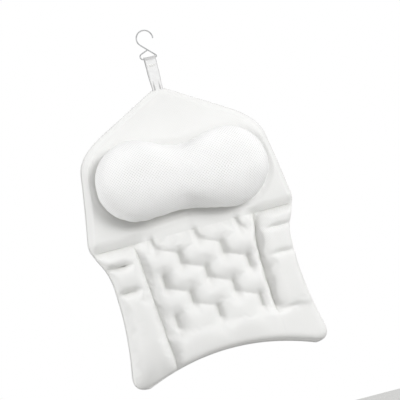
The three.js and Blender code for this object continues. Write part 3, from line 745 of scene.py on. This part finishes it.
def lumbarHeight(x, down):
    groove = grooveHalf(x, down)
    share = np.clip((np.abs(x) - groove) / (lumbarHalf(np.minimum(down, lumbar.foot[1])) - groove), 0, 1)
    return np.where(np.abs(x) <= groove, quiltHeight(x, down), bolsterHeight(x, down, share))


def seamValley(x):  # depth along the cross seam: level in the middle, a crease over the bolsters
    return mix(lumbar.seamMiddle, lumbar.seamSide, ease(np.abs(x), *lumbar.seamFrom))


def seamLevel(x):  # the same with the notches of the first tufts and the grooves
    return np.minimum(seamValley(x), head.rim + lumbarHeight(x, np.full_like(x, head.length)))


def lumbarDepth(x, down, height):
    m = lumbar
    below = down - head.length
    bolsterSwell = rise(below, bySide(x, m, "Roll"))
    swell = mix(ease(below, 0, m.quiltRoll), bolsterSwell, ease(np.abs(x), *m.rollFrom))
    depth = mix(seamLevel(x), head.rim + height, swell)
    leftFoot = ease(-x, *m.footFrom)
    under = 1 - np.clip((bottomEdge(x) - down) / mix(m.bottomRoll, m.leftFootRoll, leftFoot), 0, 1)
    turn = mix(m.bottomTurn, m.leftFootTurn, leftFoot)
    return head.rim + (depth - head.rim) * np.sqrt(1 - under ** turn)


def lumbarGrid(m):  # places and, for each, the share across its bolster, or -1 on the quilt
    rows = spread(np.linspace(0, 1, m.rows + 1))[:, None]
    across = mix(-1, 1, spread(np.linspace(0, 1, m.quiltColumns + 1)))[None]
    down = mix(head.length, bottomEdge(across * m.grooveWaist), rows)
    x = across * grooveHalf(across, down)
    share = spread(np.linspace(0, 1, m.bolsterColumns + 1))[None]
    sideDown = mix(head.length, bottomEdge(mix(m.grooveWaist, m.footMiddle, share)), rows)
    outer = lumbarHalf(mix(head.length, m.footDown, rows))
    leftX, sideX = (mix(grooveHalf(side, sideDown), outer, share) for side in (-1, 1))
    wide = np.broadcast_to(share, sideX.shape)
    allX = np.hstack([-leftX[:, :0:-1], x, sideX[:, 1:]])
    allDown = np.hstack([sideDown[:, :0:-1], down, sideDown[:, 1:]])
    return allX, allDown, np.hstack([wide[:, :0:-1], np.full(x.shape, -1.0), wide[:, 1:]])


# painted shade in the lumbar pad's grooves, tufts, tucks and along the cross seam
paintedCreaseShade = Sizes(
    leftGroove=0.45, rightGroove=0.9, grooveWide=2.1, tuft=0.45, tuftWide=4, leftTuck=0.4, rightTuck=0.2,
    tuckFrom=(0.26, 0.56), tuckWide=3, seam=0.5, seamWide=4, seamFrom=(100, 125))


def lumbarPaintedShade(x, down, share):  # painted shade in the grooves, at the tufts and tucks and along the cross seam, most at the right groove
    s = paintedCreaseShade
    fromGroove = np.abs(np.abs(x) - grooveHalf(x, down))
    drawn = bySide(x, s, "Groove") * np.exp(-fromGroove / s.grooveWide) * (1 - bandShare(x, down))
    drawn = np.maximum(drawn, (share < 0) * s.tuft * np.exp(-tuftAway(x, down) / s.tuftWide))
    deep = bySide(x, s, "Tuck") * ease(share, *s.tuckFrom)
    drawn = np.maximum(drawn, deep * np.exp(-tuckAway(down) / s.tuckWide))
    seam = s.seam * ease(np.abs(x), *s.seamFrom)
    return np.maximum(drawn, seam * np.exp(-(down - head.length) / s.seamWide))


calm = Sizes(bandAbove=6, bandBelow=12, bandFrom=(50, 90), bottom=(8, 40), bandHeld=2)


def makeLumbarPad(m):
    x, down, share = lumbarGrid(m)
    height = np.where(share < 0, quiltHeight(x, down), bolsterHeight(x, down, share))
    piece = padMesh("lumbar_pad", x, down, lumbarDepth(x, down, height), padBack(x, down), 0,
                    lumbarPaintedShade(x, down, share))
    held = np.zeros(x.shape, bool)
    left, right = m.bolsterColumns, m.bolsterColumns + m.quiltColumns
    held[:, left] = True
    held[:, right] |= down[:, right] < m.bandDown + calm.bandHeld
    held |= (tuftAway(x, down) < tuft.held) & (share < 0)
    held |= (tuckAway(down) < tuck.held) & (share > bySide(x, tuck, "Inner"))
    onEnd = (x > grooveHalf(x, down)) & (x < m.bandEnd)
    held |= (np.abs(down - m.bandDown) < tuck.held) & onEnd
    onBand = ease(down, m.bandDown - calm.bandAbove, m.bandDown + calm.bandBelow)
    smooth = 1 - onBand * ease(x, *calm.bandFrom)  # the band stays smooth on the right, and the lower edge too
    inflatePad(piece, held, lumbarPuff, smooth * ease(bottomEdge(x) - down, *calm.bottom))
    return refine(piece)


def bendOnSeam(piece):  # bakes the piece's placement into its points
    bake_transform(piece)


lumbarPiece = makeLumbarPad(lumbar)
lumbarNodes = ["lumbar_quilt_cover", "lumbar_batting", "left_bolster_cover", "left_bolster_fill",
               "right_bolster_cover", "right_bolster_fill"]
finishPiece(lumbarPiece, spacerFabric, None, lumbarNodes)
bendOnSeam(lumbarPiece)
print("lumbar pad made")


# head panel: house-shaped pad, thin at the apex, with a rounded rim and a stitch line inside its edge
def fromHeadEdge(x, down):
    slope = (headHalf(down + 1) - headHalf(down - 1)) / 2
    return (headHalf(down) - np.abs(x)) / np.hypot(1, slope)


def headDepth(x, down):
    h = head
    fromSide = fromHeadEdge(x, down)
    above = h.length - down
    plump = mix(h.flapPlump, h.plump, ease(down, h.flapFlat, h.side[1] + h.roll))
    pad = h.rim + plump * rise(fromSide, h.roll) * rise(down + h.roll / 2, h.roll)
    seated = 1 - ease(cushionShare(x, down), h.seatShare, h.seatShare + h.seatRise)
    pad = mix(pad, np.minimum(h.seat, pad), seated * rise(fromSide, h.roll))
    reach = mix(h.slopeRoll, h.lipRoll, ease(np.abs(x), *h.lipFrom))
    pad = mix(seamValley(x), pad, rise(above, reach)) - (seamValley(x) - seamLevel(x)) * np.exp(-above / h.notch)
    return pad - h.stitchSink * bell(fromSide - h.stitchIn, h.stitchWide) * ease(above, *h.stitchEnd)


def headGrid(h):
    v, u = np.meshgrid(np.linspace(0, 1, h.rows + 1), np.linspace(0, 1, h.columns + 1), indexing="ij")
    down = h.length * mix(v, spread(v), h.rowCrowding)
    return mix(-1, 1, spread(u)) * headHalf(down), down


# the first sizes place the painted shade round the cushion, the last two say where the pad is held
seating = Sizes(
    tilt=0.5, drawn=(0.1, 0.48), lowerFrom=(150, 260), share=(0.97, 1.08), under=0.36, underFrom=(220, 262),
    underDown=(185, 225), underShare=(1.0, 1.36), held=1.02, stitchHeld=1.6)


def headPaintedShade(x, down):  # painted shade: a contact shadow along the cushion's seam, most at its lower left, and a wider painted shadow on the panel below it
    s = seating
    share = cushionShare(x, down)
    lower = down - s.tilt * x
    close = mix(*s.drawn, ease(lower, *s.lowerFrom)) * (1 - ease(share, *s.share))
    under = s.under * ease(lower, *s.underFrom) * ease(down, *s.underDown)
    return np.maximum(close, under * (1 - ease(share, *s.underShare)))


def makeHeadPad(h):
    x, down = headGrid(h)
    piece = padMesh("head_pad", x, down, headDepth(x, down), padBack(x, down), -1, headPaintedShade(x, down))
    onStitches = np.abs(fromHeadEdge(x, down) - h.stitchIn) < seating.stitchHeld
    inflatePad(piece, (cushionShare(x, down) < seating.held) | onStitches, headPuff)
    return refine(piece)


headPiece = makeHeadPad(head)
finishPiece(headPiece, spacerFabric, "head_panel", ["head_front_panel", "head_wadding"])
print("head pad made")


def cushionShell(c, scale):
    t = np.arange(c.spokes) / c.spokes
    spokes = []
    for side, notch in ((1, c.upperNotch), (-1, c.lowerNotch)):  # along one side, then round the end it leads to
        x = mix(-c.spacing, c.spacing, t) * side
        angle = math.pi * (0.5 * side - t)
        spokes += [beside(x, 0, side, lobeHalf(x, notch)),
                   beside(side * c.spacing, np.cos(angle), np.sin(angle), c.radius)]
    rootX, outX, outUp, outline = np.vstack(spokes).T
    flat = mix(c.flatLeft, c.flatRight, ease(rootX + outX * outline, -c.flatReach, c.flatReach))
    flat = mix(flat, c.flatLow, ease(-outUp, *c.lowFrom))  # rounder along its lower side
    foot = math.acos(c.foot)
    footAngles = -foot * np.linspace(1, 0, c.footRings + 1)[:-1]
    rings = []
    for angle in np.concatenate([footAngles, np.linspace(0, math.pi / 2, c.domeRings + 1)]):
        if angle < 0:
            share, high = math.cos(angle), c.girth * (1 + math.sin(angle) / math.sin(foot))
        else:
            share, high = math.cos(angle) ** flat, mix(c.girth, 1, math.sin(angle) ** flat)
        reach = share * scale * outline
        x = rootX + outX * reach
        crown = 1 - c.saddle * (1 + np.cos(np.pi * np.clip(x / c.spacing, -1, 1))) / 2
        rings.append(beside(x, high * c.height * scale * mix(1, crown, high), outUp * reach))
    x, high, out = np.vstack(rings).T
    faces = [tuple(range(len(rootX)))] + ringQuads(len(rings), len(rootX))
    turn = math.radians(c.tilt)
    along = x * math.cos(turn) + out * math.sin(turn)
    up = -x * math.sin(turn) + out * math.cos(turn)
    return outward(meshPiece("head_cushion", onPillow(along, high + head.seat + c.lift, c.down - up), faces))


def cushionWeave(piece, c):  # cloth places unrolled over the dome
    x, depth, down = pillowPlaces(piece)
    root, beyond, across, away, outline = cushionPolar(x, down)
    high = depth - head.seat
    girth = c.girth * c.height
    rolled = np.where(high > girth, away + c.domeSlope * (c.height - high),
                      outline + c.domeSlope * (c.height - girth) + c.wallSlope * (girth - high))
    scale = rolled / np.maximum(away, 1e-6)
    addLayer(piece.data, "weave", "FLOAT_VECTOR", beside(root + beyond * scale, across * scale, 0))


def makeCushion(c):
    shell = cushionShell(c, c.start)
    piece = worked(shell, "REMESH", mode="VOXEL", voxel_size=c.voxel / 1000)
    inflate(piece, pillowPlaces(piece)[1] < head.seat + c.sewnHigh, cushionPuff)
    refine(piece)
    cushionWeave(piece, c)
    return piece


cushionPiece = makeCushion(cushion)
finishPiece(cushionPiece, diamondFabric, "head_panel", ["head_cushion_cover", "head_cushion_fill"])
print("cushion made")


# turned shapes behind the panels, profiles given as radius and height behind the seams
def turned(name, profile, place, sides=40):
    profile = np.asarray(profile, float)
    at = settle(*np.array(place, float))
    turn = np.linspace(0, 2 * np.pi, sides, endpoint=False)
    x, down = (at[i] + profile[:, :1] * wave(turn) for i, wave in ((0, np.cos), (1, np.sin)))
    return outward(meshPiece(name, onPillow(x, -profile[:, 1:], down), ringQuads(len(profile), sides)))


# back sheets: stretched behind the padding, slightly puckered along their edges, pierced for the eyelets
backSheet = Sizes(
    front=-0.1, back=-2.4, pucker=0.9, puckerPitch=17, secondPitch=28.9, slants=(0.6, -0.8), puckerFrom=4,
    puckerReach=26, puckerFade=0.7, cupClear=(11, 26), hole=5.75, cut=(-6, 12), stitchIn=8.0, stitchSink=1.3,
    stitchWide=3.0, apexOut=2)
headSheet = Sizes(head, rows=60, columns=80)
lumbarSheet = Sizes(lumbar, rows=56, quiltColumns=44, bolsterColumns=14)


def sheetBack(x, down, fromEdge):  # rear face, puckered along the edges and drawn in by its stitching
    b = backSheet
    waves = [np.sin(2 * np.pi * (x + slant * down) / pitch)
             for slant, pitch in zip(b.slants, (b.puckerPitch, b.secondPitch))]
    fade = ease(fromEdge, 0, b.puckerFrom) * (1 - b.puckerFade * ease(fromEdge, b.puckerFrom, b.puckerReach))
    pucker = b.pucker * waves[0] * waves[1] * awayFromCups(x, down, *b.cupClear) * fade
    return b.back - pucker + b.stitchSink * bell(fromEdge - b.stitchIn, b.stitchWide)


def makeBack(name, x, down, fromEdge, cups):
    b = backSheet
    piece = padMesh(name, x, down, b.front + 0 * x, sheetBack(x, down, fromEdge))
    for place in cups:
        low, high = b.cut
        cutter = turned("cutter", [(0, low), (b.hole, low), (b.hole, high), (0, high)], place, 32)
        worked(piece, "BOOLEAN", object=cutter, operation="DIFFERENCE", solver="EXACT")
        bpy.data.objects.remove(cutter)
    return piece


headX, headDown = headGrid(headSheet)
headIn = np.minimum(fromHeadEdge(headX, headDown), headDown + backSheet.apexOut)
headBack = makeBack("head_back_sheet", headX, headDown, headIn, cupPlaces[:headCups])
finishPiece(headBack, backFabric, "head_panel", ["head_back_panel"])
lumbarX, lumbarDown, lumbarShare = lumbarGrid(lumbarSheet)
lumbarIn = np.minimum(lumbarHalf(np.minimum(lumbarDown, lumbar.foot[1])) - np.abs(lumbarX),
                      bottomEdge(lumbarX) - lumbarDown)
lumbarBack = makeBack("lumbar_back_sheet", lumbarX, lumbarDown, np.maximum(0, lumbarIn), cupPlaces[headCups:])
finishPiece(lumbarBack, backFabric, None, ["lumbar_back_panel"])
bendOnSeam(lumbarBack)
print("back sheets made")

# sewn edges: a rolled piping round each panel and a rolled hem behind the cross seam
piping = Sizes(radius=1.7, depth=-0.4, out=0.3, sides=10, up=(0.3, 0.8, 0.5))  # up lies along none of the edges
hem = Sizes(radius=2.4, depth=-1.6, steps=60)


def strand(name, places, size, body=None):  # round strand of cloth with its own cloth places
    path = hung(places[:, 0], size.depth, places[:, 1])
    sides = piping.sides
    points, faces = tube(path, size.radius / 1000, sides, piping.up)
    around = np.linspace(0, 2 * np.pi * size.radius, sides, endpoint=False)
    weave = beside(lengthAlong(path)[:, None] * 1000, around, 0)
    piece = outward(meshPiece(name, points, faces, weave))
    return finishPiece(piece, backFabric, body, (), sharp=60)


def bothSides(edge, shared=0):  # a right-hand edge carried on to the left; shared points on the middle come once
    return np.vstack([edge, (edge[:len(edge) - shared] * [-1, 1])[::-1]])


seamDown, sideDown, roofDown = head.length, head.side[1], head.roof[1]
headDowns = np.concatenate([np.linspace(seamDown, sideDown, 60), np.linspace(sideDown - 1, roofDown, 40),
                            np.linspace(roofDown - 1, 0, 34)])
headEdge = bothSides(beside(headHalf(headDowns) + piping.out, headDowns))
strand("head_piping", headEdge, piping, "head_panel")
sideDowns = np.linspace(seamDown, lumbar.foot[1], 70)
sideEdge = beside(lumbarHalf(sideDowns) + piping.out, sideDowns)
baseX = np.linspace(lumbar.footMiddle, 0, 60)[1:]
baseEdge = beside(baseX, bottomEdge(baseX) + piping.out)
lumbarEdge = bothSides(np.vstack([sideEdge, bow(*footCurve, 24)[1:], baseEdge]), 1)
bendOnSeam(strand("lumbar_piping", lumbarEdge, piping))
hemX = np.linspace(-headHalf(seamDown), headHalf(seamDown), hem.steps)
strand("seam_hem", beside(hemX, seamDown), hem, "head_panel")

# lockstitching through the back sheets, just inside their edges; stitches of 3 mm are drawn 4.5 mm long to show
backStitch = Sizes(pitch=6.2, long=4.5, radius=0.6, proud=0.1, sides=6)


def stitchRow(name, edge, s, body=None):
    ahead = headings(edge)
    inset = backSheet.stitchIn
    line = edge + inset * beside(ahead[:, 1], -ahead[:, 0])
    along = lengthAlong(line)
    stitches = []
    for start in np.arange(inset, along[-1] - inset - s.long, s.pitch):
        at = start + s.long * np.linspace(0, 1, 4)
        x, down = (np.interp(at, along, line[:, axis]) for axis in (0, 1))
        depth = sheetBack(x, down, np.full_like(x, inset)) - s.proud
        stitches.append(tube(*roundedEnds(hung(x, depth, down), s.radius / 1000, 2), s.sides))
    return finishPiece(outward(joinParts(name, stitches)), threadMaterial, body, (), sharp=60)


stitchRow("head_back_stitching", headEdge, backStitch, "head_panel")
bendOnSeam(stitchRow("lumbar_back_stitching", lumbarEdge[::-1], backStitch))
print("edges made")

# suction cups and the eyelets that hold their stems; corners are rounded by less than a millimetre
cup = Sizes(
    stem=3.7, head=6.5, headHigh=3.5, gap=0.3, shoulder=7.4, boss=8, bossHigh=3, radius=24, drop=11, lip=2,
    roof=9.6, flare=(9.5, 1.2), dome=(16.5, 13.2))
eyelet = Sizes(hole=4.0, barrel=5.6, flange=9.0, back=3.3, thick=1.3)


def cupProfile(c):
    top, under = -c.gap - c.headHigh, -c.gap
    skirt, edge = c.shoulder + c.bossHigh, c.shoulder + c.bossHigh + c.drop
    button = bow((0, top), (c.head, top), (c.head, under - 0.6), 10)
    neck = [(c.head - 0.5, under), (c.stem + 0.4, under), (c.stem, under + 0.6),
            (c.stem, c.shoulder - 0.6), (c.stem + 0.8, c.shoulder), (c.boss - 0.6, c.shoulder),
            (c.boss, c.shoulder + 0.6)]
    flare = (c.boss + c.flare[0], skirt + c.flare[1])
    outer = bow((c.boss, skirt - 0.8), flare, (c.radius, edge - 1.2), 16)
    rim = [(c.radius + 0.1, edge - 0.4), (c.radius - 0.3, edge), (c.radius - c.lip, edge)]
    inner = bow((c.radius - c.lip - 0.4, edge - 0.2), c.dome, (0, c.roof), 16)
    return np.vstack([button, neck, outer, rim, inner])


def eyeletProfile(e):
    top = e.back + e.thick
    return [(e.hole, 0), (e.barrel, 0), (e.barrel, e.back), (e.flange - 0.1, e.back),
            (e.flange, e.back + 0.3), (e.flange - 0.1, top - 0.4), (e.flange - 0.5, top),
            (e.hole + 0.5, top), (e.hole, top - 0.5), (e.hole, 0)]


for number, place in enumerate(cupPlaces, 1):
    panel = "head_panel" if number <= headCups else "lumbar_panel"
    moulding = turned(f"cup_{number}_moulding", cupProfile(cup), place)
    finishPiece(moulding, vinylMaterial, f"cup_{number}", [f"suction_cup_{number}"], sharp=40)
    ring = turned(f"eyelet_{number}_ring", eyeletProfile(eyelet), place)
    finishPiece(ring, eyeletMaterial, panel, [f"cup_eyelet_{number}"], sharp=40)
print("cups and eyelets made")

# plain studio: pale floor well below the hanging pillow, white surroundings, soft lamps above
studio = Sizes(floor=-1.25, wide=80, paper=("#ececea", "#f2f2f0"), grain=40.0, shade=0.5, lift=0.06,
               above=0.75, below=0.2, levels=(-0.7, 0.9))
lamps = {"key softbox": {"place": (1.25, -2.15, 0.3), "target": (0, 0, -0.42), "size": 1.3, "power": 35.5},
         "fill softbox": {"place": (-2.4, -0.3, -0.1), "target": (0, 0, -0.36), "size": 0.7, "power": 22.5},
         "back softbox": {"place": (1.2, 2.0, 0.3), "target": (0, 0, -0.36), "size": 1.2, "power": 21.0}}


def seenRays(tree):  # rays from the camera, from gloss and through clear parts meet the plain pale surroundings
    ray = addNode(tree, "LightPath").outputs
    mirrored = sums(tree, "MAXIMUM", ray["Is Camera Ray"], ray["Is Glossy Ray"])
    return sums(tree, "MAXIMUM", mirrored, ray["Is Transmission Ray"])


def makeFloor(s):
    bpy.ops.mesh.primitive_plane_add(size=s.wide, location=(0, 0, s.floor))
    floor = bpy.context.object
    floor.name = "studio_floor"
    material, tree = startMaterial("Matt white paper floor")
    colour = tone(tree, addNode(tree, "TexNoise", {"Scale": s.grain}).outputs[0], *s.paper)
    seen = seenRays(tree)
    bounce = ramp(tree, seen, (s.shade, 1.0))  # throws little light back up
    shown = addNode(tree, "VectorMath", {0: colour, "Scale": bounce}, operation="SCALE")
    floor.data.materials.append(endMaterial(material, {
        "Base Color": shown.outputs[0], "Roughness": 0.9, "Specular IOR Level": 0.1, "Emission Color": (1, 1, 1, 1),
        "Emission Strength": ramp(tree, seen, (0.0, s.lift))}))  # and looks a little paler than it is lit


def makeWorld(s):
    world = bpy.data.worlds.new("Studio")
    bpy.context.scene.world = world
    world.use_nodes = True
    tree = world.node_tree
    tree.nodes.clear()
    axes = addNode(tree, "SeparateXYZ", {0: addNode(tree, "TexCoord").outputs["Generated"]})
    level = ramp(tree, axes.outputs[2], (s.below, s.above), s.levels)
    soft, white = (addNode(tree, "Background", {"Color": (1, 1, 1, 1), "Strength": strength}).outputs[0]
                   for strength in (level, 1.0))
    both = addNode(tree, "MixShader", {0: seenRays(tree), 1: soft, 2: white})
    addNode(tree, "OutputWorld", {"Surface": both.outputs[0]})


def addLamp(name, place, target, size, power):
    lamp = setUp(bpy.data.lights.new(name, "AREA"), shape="DISK", size=size, energy=power)
    turn = (Vector(target) - Vector(place)).to_track_quat("-Z", "Y").to_euler()
    intoScene(name, lamp, location=place, rotation_euler=turn, visible_glossy=False)  # not mirrored in the wire


makeFloor(studio)
makeWorld(studio)
for name, lamp in lamps.items():
    addLamp(name, **lamp)
bpy.context.scene.view_settings.view_transform = "Standard"

# camera of the photograph: far off, a little to the left of the pillow's face, rolled so that the pillow leans left
shot = Sizes(
    x=28.0, depth=12.0, down=219.0, frame=751.0, distance=4.0, left=12.5, roll=-14.5, sensor=36)


def makeCamera(c):
    lens = setUp(bpy.data.cameras.new("photo camera"), sensor_width=c.sensor,
                 lens=c.sensor * c.distance / (c.frame / 1000))
    turn = math.radians(c.left)
    target = Vector(onPillow(c.x, c.depth, c.down)[0])
    outwards = pillowFrame.to_3x3() @ Vector((-math.sin(turn), -math.cos(turn), 0))
    look = (-outwards).to_track_quat("-Z", "Y").to_matrix().to_4x4()
    roll = Matrix.Rotation(math.radians(c.roll), 4, "Z")
    place = Matrix.Translation(target + outwards * c.distance) @ look @ roll
    bpy.context.scene.camera = intoScene("photo camera", lens, matrix_world=place)


makeCamera(shot)
